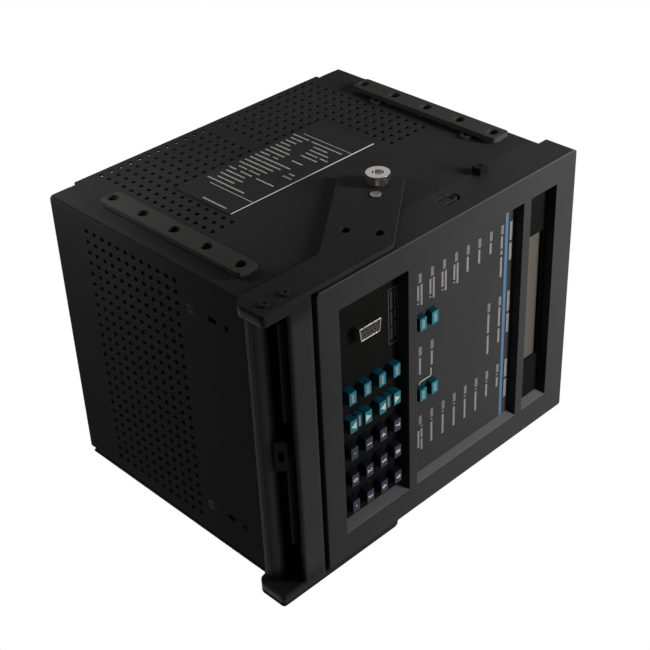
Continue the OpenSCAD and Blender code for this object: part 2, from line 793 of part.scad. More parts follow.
module latch_2d() difference() {
    union() {
        translate([latch_left, latch_low]) square([latch_gap[0] - latch_left, latch_top - latch_low]);
        translate([latch_gap[1], latch_low]) square([latch_step - latch_gap[1], latch_top - latch_low]);
        translate([latch_gap[0] - eps, bridge_low])
            square([latch_gap[1] - latch_gap[0] + 2 * eps, bridge_top - bridge_low]);
        translate([latch_step - eps, latch_low])
            square([latch_tip - latch_step - latch_finger_h / 2 + eps, latch_finger_h]);
        translate([latch_tip - latch_finger_h / 2, latch_low + latch_finger_h / 2]) circle(d = latch_finger_h);
    }
    for (x = guide_pin_x) translate([x, guide_pin_z]) guide_slot_2d();
}

// Finger tab, bent back at half a right angle from the latch's lower edge
module latch_tab() translate([0, latch_y, latch_low]) rotate([45, 0, 0]) translate([0, 0, -latch_tab_l])
    xz_plate(0, latch_t) difference() {
        translate([-latch_tab_w / 2, 0]) square([latch_tab_w, latch_tab_l]);
        translate([0, latch_tab_l / 2]) round_rect(7, 3.4, 1.6);
    }

module latch() color(bright) {
    xz_plate(latch_y, latch_t) latch_2d();
    latch_tab();
}

// Bowed leaf between the latch and the ledge on the strip's back
module latch_spring() color(bright) {
    rise = ledge_z - bridge_top;
    bow_r = (pow(spring_w / 2, 2) + pow(rise, 2)) / (2 * rise);
    xz_plate(latch_y, latch_t) translate([spring_x, 0]) intersection() {
        translate([-spring_w / 2, bridge_top]) square([spring_w, rise]);
        translate([0, ledge_z - bow_r]) difference() {
            circle(r = bow_r, $fn = 180);
            circle(r = bow_r - spring_t, $fn = 180);
        }
    }
}

// Middle of the depth on the origin
module place() translate([0, -overall_d / 2, 0]) children();

place() {
    left_side_panel();
    right_side_panel();
    top_cover();
    bottom_pan();
    rear_panel();
    front_plate();
    bezel();
    display_window();
    display_module();
    led_panel();
    led_light_pipes();
    keypad_plate();
    port_shell();
    port_insert();
    guide_rails();
    rail_spacers();
    rail_screws();
    nameplate();
    chassis_screws();
    pivot_pins();
    front_board();
    main_board();
    io_board();
    card_guides();
    transformers();
    output_relays();
    rear_connectors();
    handle_grip();
    arm_left();
    arm_right();
    arm_screws();
    roller_pins();
    latch();
    latch_spring();
    roller_left();
    roller_right();
    panel_key(0, 0);  // panel_key_1
    panel_key(0, 1);  // panel_key_2
    panel_key(1, 0);  // panel_key_3
    panel_key(1, 1);  // panel_key_4
    for (r = [1 : 4], c = [1 : 5])
        keypad_key(r, c);
}
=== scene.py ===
"""Looks of a withdrawable protection relay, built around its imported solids."""

import json
import math

import bpy
from mathutils import Matrix, Vector


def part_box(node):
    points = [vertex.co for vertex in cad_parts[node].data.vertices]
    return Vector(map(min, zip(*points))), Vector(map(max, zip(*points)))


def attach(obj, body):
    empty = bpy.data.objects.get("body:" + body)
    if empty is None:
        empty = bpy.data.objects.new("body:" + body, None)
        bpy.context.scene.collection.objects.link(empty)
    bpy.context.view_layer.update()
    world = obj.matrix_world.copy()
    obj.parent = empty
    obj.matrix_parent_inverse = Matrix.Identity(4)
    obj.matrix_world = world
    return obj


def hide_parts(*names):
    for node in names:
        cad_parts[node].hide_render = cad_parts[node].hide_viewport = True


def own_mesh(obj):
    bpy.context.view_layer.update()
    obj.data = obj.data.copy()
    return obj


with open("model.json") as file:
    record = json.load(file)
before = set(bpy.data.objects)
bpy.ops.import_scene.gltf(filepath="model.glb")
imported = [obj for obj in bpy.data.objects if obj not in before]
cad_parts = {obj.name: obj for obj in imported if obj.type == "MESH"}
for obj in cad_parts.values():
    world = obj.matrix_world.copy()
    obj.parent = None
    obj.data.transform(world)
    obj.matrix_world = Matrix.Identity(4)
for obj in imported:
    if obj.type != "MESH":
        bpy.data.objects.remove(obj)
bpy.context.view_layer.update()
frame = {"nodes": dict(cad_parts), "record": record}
nodes = frame["nodes"]
MM = 0.001

# Places from the frame, in metres
PANEL_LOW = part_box("led_panel")[0]
KEYPAD_LOW, KEYPAD_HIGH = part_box("keypad_plate")
PLATE_LOW, PLATE_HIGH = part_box("nameplate")
PIPES_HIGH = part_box("led_light_pipes")[1]

# Sizes in millimetres, angles in radians
INK = 0.04
PIPE_H, PIPE_LIP = 2.6, 1.0
WELL_WALL = 2
LED_PITCH = 10.25
LED_COLUMNS = (-63.4, -13.7, 36.2)
LETTER_W, LETTER_STEP, WORD_GAP = 0.5, 0.92, 1.6
DIGIT_H, DIGIT_WEIGHT = 4.8, 0.12
ARROW_R, ARROW_CORNER = 2.8, 0.3
KEY_HALF, KEY_GAP, KEY_LIP = 2.85, 0.3, 1.2
SMOOTH = math.radians(35)
UPRIGHT = math.pi / 2
FACING_LEFT = (UPRIGHT, 0, -math.pi / 2)
FACING_FRONT = (UPRIGHT, 0, 0)

KEY_ROWS, KEY_COLUMNS = 4, 5
PANEL_KEYS = ["panel_key_%d" % i for i in range(1, 5)]
PAD_KEYS = ["key_r%dc%d" % (r, c) for r in range(1, KEY_ROWS + 1) for c in range(1, KEY_COLUMNS + 1)]
DIGITS = {"r1c3": "7", "r2c3": "4", "r3c3": "1", "r4c3": ".",
          "r1c4": "8", "r2c4": "5", "r3c4": "2", "r4c4": "0",
          "r1c5": "9", "r2c5": "6", "r3c5": "3", "r4c5": "-"}


# Colours and shader nodes

def srgb(hex_code):
    """Linear colour of an sRGB hex value."""
    parts = [int(hex_code[i:i + 2], 16) / 255 for i in (1, 3, 5)]
    return [p / 12.92 if p <= 0.04045 else ((p + 0.055) / 1.055) ** 2.4 for p in parts] + [1.0]


def add(tree, kind, settings=None, inputs=None):
    """A new node with its settings, and its inputs set to values or linked from sockets."""
    node = tree.nodes.new(kind)
    for key, value in (settings or {}).items():
        setattr(node, key, value)
    for key, value in (inputs or {}).items():
        if isinstance(value, bpy.types.NodeSocket):
            tree.links.new(value, node.inputs[key])
        else:
            node.inputs[key].default_value = value
    return node


def new_material(name):
    """An empty material with its shader, and the piece's own coordinates."""
    material = bpy.data.materials.new(name)
    material.use_nodes = True
    tree = material.node_tree
    shader = tree.nodes["Principled BSDF"]
    place = add(tree, "ShaderNodeTexCoord").outputs["Object"]
    return material, tree, shader, place


def blend(tree, factor, body, hex_code):
    """A colour that goes from a socket's to a hex value's as a factor rises."""
    mix = add(tree, "ShaderNodeMix", {"data_type": "RGBA"}, {"Factor": factor})
    tree.links.new(body, mix.inputs["A"])
    mix.inputs["B"].default_value = srgb(hex_code)
    return mix.outputs["Result"]


def ramp_along(tree, value, start, stop):
    """A factor that rises from nought to one between two values of a socket."""
    return add(tree, "ShaderNodeMapRange", None, {"Value": value, "From Min": start,
                                                  "From Max": stop}).outputs["Result"]


def parts_of(tree):
    """Sockets for X, Y and Z of the piece's own coordinates, and for the distance from the middle plane."""
    place = add(tree, "ShaderNodeTexCoord").outputs["Object"]
    part = add(tree, "ShaderNodeSeparateXYZ", None, {"Vector": place})
    out = add(tree, "ShaderNodeMath", {"operation": "ABSOLUTE"}, {0: part.outputs["X"]})
    return part.outputs, out.outputs["Value"]


def tone(tree, place, size_mm, low, high):
    """A slow drift between two colours, over patches of a size in millimetres."""
    drift = add(tree, "ShaderNodeTexNoise", None, {"Vector": place, "Scale": 1 / (size_mm * MM), "Detail": 3.0})
    ramp = add(tree, "ShaderNodeValToRGB", None, {"Fac": drift.outputs["Fac"]})
    ramp.color_ramp.elements[0].position = 0.3
    ramp.color_ramp.elements[0].color = srgb(low)
    ramp.color_ramp.elements[1].position = 0.72
    ramp.color_ramp.elements[1].color = srgb(high)
    return ramp.outputs["Color"]


def grain(tree, place, shader, grit_mm, depth_mm, edge_mm, roughness):
    """A grained surface with softened edges, and a roughness that follows the grain."""
    grit = add(tree, "ShaderNodeTexNoise", None, {"Vector": place, "Scale": 1 / (grit_mm * MM), "Detail": 2.0})
    soft = add(tree, "ShaderNodeBevel", {"samples": 4}, {"Radius": edge_mm * MM})
    bump = add(tree, "ShaderNodeBump", None, {"Height": grit.outputs["Fac"], "Strength": 0.5,
                                              "Distance": depth_mm * MM, "Normal": soft.outputs["Normal"]})
    tree.links.new(bump.outputs["Normal"], shader.inputs["Normal"])
    spread = add(tree, "ShaderNodeMapRange", None, {"Value": grit.outputs["Fac"], "From Min": 0.3, "From Max": 0.7,
                                                    "To Min": roughness - 0.05, "To Max": roughness + 0.07})
    tree.links.new(spread.outputs["Result"], shader.inputs["Roughness"])
    return soft.outputs["Normal"]


def painted(name, low, high, rubbed, roughness, grit_mm, depth_mm, edge_mm=0.5, gloss=0.05):
    """Paint or moulding whose colour drifts a little and turns paler along its edges: partly edge wear, partly a
    painted edge highlight.
    """
    material, tree, shader, place = new_material(name)
    shader.inputs["Specular IOR Level"].default_value = gloss
    body = tone(tree, place, 60, low, high)
    soft = grain(tree, place, shader, grit_mm, depth_mm, edge_mm, roughness)
    flat = add(tree, "ShaderNodeNewGeometry").outputs["Normal"]
    turn = add(tree, "ShaderNodeVectorMath", {"operation": "DOT_PRODUCT"}, {0: soft, 1: flat})
    # Paler along the edges: partly edge wear, partly a painted edge highlight
    edge = add(tree, "ShaderNodeMapRange", None, {"Value": turn.outputs["Value"], "From Min": 0.985,
                                                  "From Max": 0.85, "To Min": 0.0, "To Max": 0.4})
    tree.links.new(blend(tree, edge.outputs["Result"], body, rubbed), shader.inputs["Base Color"])
    return material


def plated(name, low, high, roughness):
    """Nickel plate: bright, with faint drawing marks around the part."""
    material, tree, shader, place = new_material(name)
    shader.inputs["Metallic"].default_value = 1.0
    tree.links.new(tone(tree, place, 4, low, high), shader.inputs["Base Color"])
    grain(tree, place, shader, 0.5, 0.001, 0.35, roughness)
    return material


def inked(name, low, high):
    """Screen ink: flat, a little uneven in cover."""
    material, tree, shader, place = new_material(name)
    tree.links.new(tone(tree, place, 1.5, low, high), shader.inputs["Base Color"])
    shader.inputs["Roughness"].default_value = 0.55
    return material


def shaded_sides_lit_edge(name, low, high, rubbed, pale, dark):
    """A moulding whose sides and lugs are darkened as painted shade, and whose left front edge bears a thin pale
    line that is a painted highlight.
    """
    material = painted(name, low, high, rubbed, 0.5, 0.7, 0.04, 0.4, 0.02)
    tree = material.node_tree
    shader = tree.nodes["Principled BSDF"]
    body = shader.inputs["Base Color"].links[0].from_socket
    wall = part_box("left_side_panel")[0].x
    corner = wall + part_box("bezel")[0].y
    part, out = parts_of(tree)
    reach = add(tree, "ShaderNodeMath", {"operation": "ADD"}, {0: part["X"], 1: part["Y"]}).outputs["Value"]
    # Painted shade: the sides and lugs beyond the chassis walls turn dark
    side_painted_shade = ramp_along(tree, out, -wall - 0.2 * MM, -wall + 0.3 * MM)
    # Painted highlight: a thin pale line along the left front edge
    line = ramp_along(tree, reach, corner + 0.62 * MM, corner + 0.48 * MM)
    colour = blend(tree, line, blend(tree, side_painted_shade, body, dark), pale)
    tree.links.new(colour, shader.inputs["Base Color"])
    return material


def lit_and_shaded_grip(name, dark, plain, bright, roughness):
    """A grip whose lower bar is painted lighter as lit, and whose ends are darkened as painted shade."""
    material = painted(name, plain[0], plain[1], plain[1], roughness, 0.7, 0.03, 3.0, 0.05)
    tree = material.node_tree
    shader = tree.nodes["Principled BSDF"]
    body = shader.inputs["Base Color"].links[0].from_socket
    low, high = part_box("handle_grip")
    part, out = parts_of(tree)
    # Painted light: the lower part of the bar turns paler
    bar_painted_light = ramp_along(tree, part["Z"], low.z + 15 * MM, low.z + 11 * MM)
    # Painted shade: the ends of the grip turn dark
    end = ramp_along(tree, out, high.x - 14 * MM, high.x - 7 * MM)
    colour = blend(tree, end, blend(tree, bar_painted_light, body, bright), dark)
    tree.links.new(colour, shader.inputs["Base Color"])
    return material


def display_glass():
    """Vacuum display behind a filter: a dark rim, the beige field, then a dark olive band above it that is painted
    shade.
    """
    material, tree, shader, place = new_material("display filter glass")
    low, span, field_from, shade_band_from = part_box("display_window")[0].z, 40, 12.9, 22.9
    part = add(tree, "ShaderNodeSeparateXYZ", None, {"Vector": place})
    height = ramp_along(tree, part.outputs["Z"], low, low + span * MM)
    ramp = add(tree, "ShaderNodeValToRGB", None, {"Fac": height})
    ramp.color_ramp.interpolation = "CONSTANT"
    ramp.color_ramp.elements[0].color = srgb("#2b2a29")
    # Painted shade: the dark olive band at the top of the glass
    ramp.color_ramp.elements[1].position = shade_band_from / span
    ramp.color_ramp.elements[1].color = srgb("#12160d")
    ramp.color_ramp.elements.new(field_from / span).color = srgb("#5e5852")
    tree.links.new(ramp.outputs["Color"], shader.inputs["Base Color"])
    shader.inputs["Roughness"].default_value = 0.3
    shader.inputs["Specular IOR Level"].default_value = 0.1
    return material


def circuit_board():
    """Solder mask over tracks: a fine cell pattern in two greens."""
    material, tree, shader, place = new_material("green solder mask")
    cells = add(tree, "ShaderNodeTexVoronoi", {"distance": "CHEBYCHEV"}, {"Vector": place, "Scale": 1 / (3 * MM)})
    ramp = add(tree, "ShaderNodeValToRGB", None, {"Fac": cells.outputs["Distance"]})
    ramp.color_ramp.elements[0].color = srgb("#2a5a3c")
    ramp.color_ramp.elements[1].color = srgb("#123824")
    tree.links.new(ramp.outputs["Color"], shader.inputs["Base Color"])
    shader.inputs["Roughness"].default_value = 0.35
    return material


# Satin powder paint on sheet steel: nearly black, a low sheen, edges only a little paler
paint = painted("satin black powder paint", "#363636", "#3c3c3c", "#5a5a5a", 0.42, 0.9, 0.03, 0.5, 0.004)
# Black oxide on turned and stamped steel: a touch more sheen, edges paler, partly worn grey and partly a painted
# edge highlight
oxide = painted("black oxide on stamped steel", "#222222", "#2a2a2a", "#585654", 0.4, 0.5, 0.02, 0.3, 0.03)
# Nylon moulded in a spark-eroded tool: flat and black
nylon = painted("moulded black nylon", "#242423", "#2a2a29", "#434342", 0.5, 0.6, 0.03, 0.4, 0.008)
# Nylon bar rubbed by its channel: a dry grey bloom over the black
rail_nylon = painted("nylon rubbed grey by its channel", "#444443", "#4a4a49", "#626261", 0.5, 0.6, 0.03, 0.4,
                     0.008)
# Polycarbonate sheet with a fine matt face: black, almost without sheen
matt_sheet = painted("matt black polycarbonate sheet", "#181817", "#1d1d1c", "#2c2c2b", 0.55, 0.4, 0.02, 0.3,
                     0.008)
# Polycarbonate moulded in a textured tool: warm dark grey, soft light; its sides and lugs are darkened as painted
# shade, and its left front edge has a painted highlight line
bezel_painted_light = shaded_sides_lit_edge("moulded grey polycarbonate", "#3e3d3d", "#444343", "#6a6969", "#5e5d5c", "#201f1f")
# The smooth drafted ends of the openings: the same plastic with more gloss, and a lighter colour that is a painted
# highlight
slope_painted_light = painted("grey polycarbonate painted lighter as lit", "#5a5959", "#605f5f", "#7a7979", 0.34, 0.7, 0.02, 0.3, 0.25)
# The same plastic from a smoother tool: darker, with a soft broad sheen; its bar is painted lighter as lit, and its
# ends darker as painted shade
grip_painted_light = lit_and_shaded_grip("grey grip polycarbonate with painted light and shade", "#1f1e1e", ("#343333", "#3a3939"), "#585757", 0.36)
# Nickel plate on turned steel: bright, mirrors its surroundings in streaks
nickel = plated("nickel plate on turned steel", "#94908d", "#a29e9b", 0.28)
# Silicone rubber dyed in the mass, in two copies: dark sides as painted shade, and a paler face as painted light
teal = painted("teal silicone rubber darkened as painted shade", "#0d3a47", "#104252", "#1b5a6b", 0.55, 0.5, 0.02, 0.2)
teal_lit_face = painted("teal key face painted lighter as lit", "#36838f", "#3c8a97", "#60a7b1", 0.5, 0.5, 0.02, 0.2)
navy = painted("navy silicone rubber darkened as painted shade", "#10111d", "#141523", "#24263a", 0.55, 0.5, 0.02, 0.2)
navy_lit_face = painted("navy key face painted lighter as lit", "#40434e", "#464955", "#62656f", 0.5, 0.5, 0.02, 0.2)
# Acrylic light pipe with a sanded end: pale grey when dark
frosted = painted("sanded acrylic light pipe", "#7f7c7a", "#8a8785", "#a09d9b", 0.4, 0.5, 0.02, 0.3)
# Glass-filled polyester of the port: dark, dusty beige
beige = painted("beige moulded polyester", "#4d4a45", "#54514b", "#a5a298", 0.5, 0.5, 0.02, 0.2)
# Polyester film with a printed back: flat dark grey
film = painted("back-printed polyester film", "#373636", "#3c3b3b", "#4a4949", 0.5, 0.5, 0.02, 0.3, 0.008)
# Winding tape soaked in varnish: brown, with a wet sheen
varnish = painted("varnish-soaked winding tape", "#4a3d2a", "#5a4a33", "#7a6a50", 0.45, 2.0, 0.05)
# Smooth moulded relay case: dark blue
relay_case = painted("moulded blue relay case", "#22324a", "#2a3c58", "#4a5c78", 0.35, 0.5, 0.02)
# Screen inks lie flat and cover a little unevenly
white_ink = inked("white screen ink", "#b4b1af", "#c2bfbd")
bright_ink = inked("white ink under clear film", "#e2e0dd", "#ecebe8")
blue_ink = inked("blue screen ink", "#4a7192", "#52799a")
grey_ink = inked("grey screen ink", "#3a3a39", "#41413f")
glass = display_glass()
board = circuit_board()

SLOT_FINISH = {"painted_steel": paint, "black_steel": oxide, "black_plastic": nylon, "bezel_plastic": bezel_painted_light,
               "display_glass": glass, "light_pipe": frosted, "bright_metal": nickel, "beige_plastic": beige,
               "circuit_board": board, "transformer_wrap": varnish, "relay_case": relay_case,
               "nameplate_film": film, "teal_key": teal, "navy_key": navy}
NODE_FINISH = {"guide_rails": rail_nylon, "rail_spacers": rail_nylon, "keypad_plate": matt_sheet,
               "display_window": matt_sheet, "handle_grip": grip_painted_light}

slot_of = {entry["node"]: entry["material_slot"] for entry in frame["record"]["subparts"]}
for name, node in nodes.items():
    node.data.materials.clear()
    node.data.materials.append(NODE_FINISH.get(name) or SLOT_FINISH[slot_of[name]])


# Modelling helpers

def deselect():
    """Nothing selected, so that an operator acts on the new piece alone."""
    if bpy.context.object and bpy.context.object.mode != "OBJECT":
        bpy.ops.object.mode_set(mode="OBJECT")
    bpy.ops.object.select_all(action="DESELECT")


def select_faces(piece, test):
    """In edit mode, selects the faces whose centre and normal pass a test."""
    bpy.ops.object.mode_set(mode="EDIT")
    bpy.ops.mesh.select_mode(type="FACE")
    bpy.ops.mesh.select_all(action="DESELECT")
    bpy.ops.object.mode_set(mode="OBJECT")
    for face in piece.data.polygons:
        face.select = test(face.center, face.normal)
    bpy.ops.object.mode_set(mode="EDIT")


def block(centre, size):
    """A box at its size and place, its transform applied."""
    deselect()
    bpy.ops.mesh.primitive_cube_add(size=1, location=centre)
    piece = bpy.context.object
    piece.scale = size
    bpy.ops.object.transform_apply(location=True, rotation=True, scale=True)
    return piece


def bar(centre, size, bevel_mm, segments):
    """A box with all its edges bevelled."""
    piece = block(centre, size)
    bpy.ops.object.mode_set(mode="EDIT")
    bpy.ops.mesh.select_all(action="SELECT")
    bpy.ops.mesh.bevel(offset=bevel_mm * MM, segments=segments, affect="EDGES")
    bpy.ops.object.mode_set(mode="OBJECT")
    return piece


def apply_place(piece):
    """Moves a piece's place into its mesh."""
    bpy.ops.object.mode_set(mode="OBJECT")
    bpy.ops.object.transform_apply(location=True, rotation=True, scale=True)
    piece.select_set(False)


def dress(piece, name, material, body):
    """Name, finish and body of a new piece."""
    piece.name = name
    piece.data.name = name
    piece.data.materials.clear()
    piece.data.materials.append(material)
    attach(piece, body)
    return piece


def copy_at(piece, offset):
    """A copy with its own mesh, moved by an offset."""
    twin = piece.copy()
    twin.data = piece.data.copy()
    twin.data.transform(Matrix.Translation(offset))
    bpy.context.collection.objects.link(twin)
    return twin


def join(pieces):
    """One piece out of several."""
    deselect()
    for piece in pieces:
        piece.select_set(True)
    bpy.context.view_layer.objects.active = pieces[0]
    if len(pieces) > 1:
        bpy.ops.object.join()
    return pieces[0]


# Keys

def key_cap(node_name):
    """A drafted silicone cap with rounded edges and a shallow printed face, in the place of a key's solid."""
    low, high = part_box(node_name)
    lip = 2 * KEY_LIP * MM
    piece = block((low + high) / 2, (high.x - low.x - lip, high.y - low.y, high.z - low.z - lip))
    select_faces(piece, lambda centre, normal: normal.y < -0.9)
    bpy.ops.transform.resize(value=(0.95, 1, 0.92))
    bpy.ops.mesh.select_all(action="SELECT")
    bpy.ops.mesh.bevel(offset=0.35 * MM, segments=3, affect="EDGES")
    select_faces(piece, lambda centre, normal: normal.y < -0.95)
    bpy.ops.mesh.inset(thickness=0.1 * MM)
    bpy.ops.object.mode_set(mode="OBJECT")
    bpy.ops.object.shade_smooth_by_angle(angle=SMOOTH)
    return piece


def make_keys():
    """All the caps: one is modelled for each plate, the rest are copies."""
    for names in (PANEL_KEYS, PAD_KEYS):
        model = names[0]
        first = key_cap(model)
        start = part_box(model)[0]
        for name in names:
            cap = first if name == model else copy_at(first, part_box(name)[0] - start)
            dress(cap, name + "_cap", SLOT_FINISH[slot_of[name]], name)
            # Front faces take the paler copy of the rubber as painted light; the sides keep the darker copy as
            # painted shade
            cap.data.materials.append(teal_lit_face if slot_of[name] == "teal_key" else navy_lit_face)
            for face in cap.data.polygons:
                face.material_index = 1 if face.normal.y < -0.8 else 0
            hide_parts(name)


def key_face(name):
    """Middle of a key's front face."""
    low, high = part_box(name)
    return Vector(((low.x + high.x) / 2, low.y, (low.z + high.z) / 2))


def digit(name, sign):
    """A printed sign on a number key."""
    deselect()
    bpy.ops.object.text_add(rotation=FACING_FRONT)
    piece = bpy.context.object
    piece.data.body = sign
    piece.data.size = DIGIT_H * MM
    piece.data.offset = DIGIT_WEIGHT * MM
    piece.data.extrude = INK * MM
    bpy.ops.object.convert(target="MESH")
    bpy.ops.object.origin_set(type="ORIGIN_GEOMETRY", center="BOUNDS")
    piece.location = key_face(name)
    apply_place(piece)
    dress(piece, name + "_sign", bright_ink, name)


def arrow(name, up):
    """A printed triangle with softened corners on a scroll key."""
    deselect()
    bpy.ops.mesh.primitive_circle_add(vertices=3, radius=ARROW_R * MM, fill_type="NGON",
                                      rotation=(UPRIGHT, 0 if up else math.pi, 0))
    piece = bpy.context.object
    bpy.ops.object.mode_set(mode="EDIT")
    bpy.ops.mesh.bevel(offset=ARROW_CORNER * MM, segments=2, affect="VERTICES")
    bpy.ops.object.mode_set(mode="OBJECT")
    bpy.ops.object.origin_set(type="ORIGIN_GEOMETRY", center="BOUNDS")
    piece.location = key_face(name) - Vector((0, INK * MM / 2, 0))
    apply_place(piece)
    dress(thicken(piece), name + "_sign", bright_ink, name)


# Print

def patch(place, width, height, rotation):
    """A flat printed field; its place and sizes in metres."""
    deselect()
    bpy.ops.mesh.primitive_plane_add(size=1, location=place, rotation=rotation)
    piece = bpy.context.object
    piece.scale = (width, height, 1)
    apply_place(piece)
    return piece


def word(x, y, z, length, height, facing=FACING_FRONT):
    """A row of short strokes that stands for a printed word; sizes in millimetres, place in metres."""
    piece = patch((x, y, z), LETTER_W * MM, height * MM, facing)
    row = piece.modifiers.new("row", "ARRAY")
    row.count = max(1, round(length / LETTER_STEP))
    row.use_relative_offset = False
    row.use_constant_offset = True
    row.constant_offset_displace = (LETTER_STEP * MM, 0, 0) if facing == FACING_FRONT else (0, -LETTER_STEP * MM, 0)
    bpy.context.view_layer.objects.active = piece
    bpy.ops.object.modifier_apply(modifier=row.name)
    return piece


def words(x, y, z, lengths, height):
    """Several words in a line on the front."""
    pieces = []
    for length in lengths:
        pieces.append(word(x, y, z, length, height))
        x += (length + WORD_GAP) * MM
    return pieces


def thicken(piece):
    """Ink of a little thickness."""
    deselect()
    piece.select_set(True)
    bpy.context.view_layer.objects.active = piece
    thick = piece.modifiers.new("ink", "SOLIDIFY")
    thick.thickness = INK * MM
    thick.offset = 1
    bpy.ops.object.modifier_apply(modifier=thick.name)
    return piece


def stroke(points, width, y):
    """A printed line along X and Z points in metres, its width in millimetres."""
    pieces = []
    for (x0, z0), (x1, z1) in zip(points, points[1:]):
        length = math.hypot(x1 - x0, z1 - z0)
        turn = -math.atan2(z1 - z0, x1 - x0)
        pieces.append(patch(((x0 + x1) / 2, y, (z0 + z1) / 2), length + width * MM, width * MM, (UPRIGHT, turn, 0)))
    return pieces


def indicator_print():
    """Labels beside the indicators, headings and the blue rule on the indicator panel."""
    y = PANEL_LOW.y - INK * MM / 2
    top = PIPES_HIGH.z - (PIPE_H / 2 + PIPE_LIP) * MM
    left, middle, right = (column * MM + 4.9 * MM for column in LED_COLUMNS)
    label_h, split_h, split = 1.7, 1.6, 1.4 * MM
    output = (0.9, 15)
    single = ((left, {0: (8, 3, 13.4), 1: (7,), 2: (9.5,), 3: (10.5,)}),
              (middle, {0: (14, 10), 1: (14, 13.6), 6: (10.2,), 7: (12,)}),
              (right, {0: (0.9, 7), 1: (0.9, 9), 2: output, 3: output, 4: output, 5: output, 6: output}))
    labels = []
    for x, rows in single:
        for row, lengths in rows.items():
            labels += words(x, y, top - row * LED_PITCH * MM, lengths, label_h)
    for row in range(4, 8):
        z = top - row * LED_PITCH * MM
        labels += words(left, y, z + split, (14,), split_h)
        labels += words(left, y, z - split, (10, 0.9), split_h)
    z = top - 7 * LED_PITCH * MM
    labels += words(right, y, z + split, (0.9, 6, 8), split_h)
    labels += words(right + 3 * MM, y, z - split, (13,), split_h)
    dress(thicken(join(labels)), "indicator_labels", white_ink, "unit")
    heading_z, heading_h = top + 8.4 * MM, 2.4
    headings = []
    for start, lengths in ((-65.4, (13, 12)), (-17, (15, 14)), (33.8, (14, 14))):
        headings += words(start * MM, y, heading_z, lengths, heading_h)
    dress(thicken(join(headings)), "indicator_headings", white_ink, "unit")
    high, low = (key_face(name).z + 0.9 * MM for name in ("panel_key_3", "panel_key_4"))
    tip = key_face("panel_key_3").x - 11.3 * MM
    bend, foot = tip + 5.05 * MM, tip + 6.4 * MM
    bracket = stroke([(tip, high), (bend, high), (bend, low), (foot, low)], 0.6, y)
    dress(thicken(join(bracket)), "indicator_bracket", bright_ink, "unit")
    rule_z, rule_w = top + 4.3 * MM, 2.5
    rule = stroke([(-73.4 * MM, rule_z), (75.8 * MM, rule_z)], rule_w, y)
    dress(thicken(join(rule)), "indicator_rule", blue_ink, "unit")


def key_print():
    """Signs on the keys: digits, triangles and short word marks."""
    for place, sign in DIGITS.items():
        digit("key_" + place, sign)
    for name, up in (("key_r1c2", True), ("key_r2c2", False), ("key_r3c2", True), ("key_r4c2", False)):
        arrow(name, up)
    mark_l, mark_h = 5.6, 2.0
    for name in PANEL_KEYS + ["key_r%dc1" % r for r in range(1, KEY_ROWS + 1)]:
        face = key_face(name)
        mark = words(face.x - 2.2 * MM, face.y - INK * MM / 2, face.z, (mark_l,), mark_h)
        dress(thicken(join(mark)), name + "_sign", white_ink, name)


def scroll_bridges():
    """The raised teal bars that join each pair of scroll keys, with a label."""
    for pair, (upper, lower) in enumerate((("key_r1c2", "key_r2c2"), ("key_r3c2", "key_r4c2"))):
        a, b = key_face(upper), key_face(lower)
        middle = (a.z + b.z) / 2
        room = a.z - b.z - 2 * (KEY_HALF * MM + KEY_GAP * MM) - 0.5 * MM
        front = a.y + 1.3 * MM
        piece = bar((a.x, (front + KEYPAD_LOW.y) / 2, middle), (9.0 * MM, KEYPAD_LOW.y - front, room), 0.4, 3)
        bpy.ops.object.shade_smooth_by_angle(angle=SMOOTH)
        dress(piece, "scroll_bridge_%d" % (pair + 1), teal, "unit")
        mark = words(a.x - 3.2 * MM, front - INK * MM / 2, middle, (7,), 1.6)
        dress(thicken(join(mark)), "scroll_label_%d" % (pair + 1), white_ink, "unit")


def port_label():
    """A bordered field above the port with two lines of grey words."""
    y = KEYPAD_LOW.y - INK * MM / 2
    left, right = -66.2 * MM, -29.9 * MM
    low, high = KEYPAD_HIGH.z - 10.3 * MM, KEYPAD_HIGH.z - 2.9 * MM
    border = stroke([(left, low), (right, low), (right, high), (left, high), (left, low)], 0.5, y)
    inset, row_h = 2.2 * MM, 1.5
    rows = words(left + 2 * MM, y, high - inset, (9, 8, 11), row_h)
    rows += words(left + 2 * MM, y, low + inset, (12, 9, 7), row_h)
    dress(thicken(join(border + rows)), "port_label", grey_ink, "unit")


# Distance of each row from the plate's top end, with the start and length of each of its words
PLATE_ROWS = ((24.0, ((2, 14), (18, 26))), (28.2, ((4, 10), (24, 12))), (32.4, ((4, 9), (25, 16))),
              (36.6, ((4, 8), (26, 10), (38, 6))), (40.8, ((4, 13), (26, 14))), (45.0, ((4, 17),)),
              (49.2, ((4, 17), (27, 9))), (53.4, ((4, 8), (15, 5))), (57.6, ((4, 30),)), (61.8, ((4, 27), (38, 5))),
              (66.0, ((4, 25), (37, 7))), (70.2, ((4, 24),)), (74.4, ((8, 7), (17, 9))),
              (78.6, ((4, 6), (14, 10), (28, 15))), (82.8, ((6, 17),)), (87.0, ((6, 19),)), (91.2, ((8, 15),)),
              (95.4, ((4, 32),)), (114.0, ((21.5, 20),)))


def nameplate_print():
    """Rows of words on the side plate between two rules, from its top end down."""
    x = PLATE_LOW.x - INK * MM / 2
    row_h, rule_w, margin = 1.1, 0.4, 1
    pieces = []
    for down, spans in PLATE_ROWS:
        z = PLATE_HIGH.z - down * MM
        for start, length in spans:
            pieces.append(word(x, PLATE_HIGH.y - start * MM, z, length, row_h, FACING_LEFT))
    for down, start in ((19.6, 5.5), (99.4, 10)):
        rear = PLATE_HIGH.y - start * MM
        pieces.append(patch((x, (rear + PLATE_LOW.y) / 2, PLATE_HIGH.z - down * MM),
                            rear - PLATE_LOW.y - margin * MM, rule_w * MM, FACING_LEFT))
    dress(thicken(join(pieces)), "nameplate_rows", bright_ink, "unit")


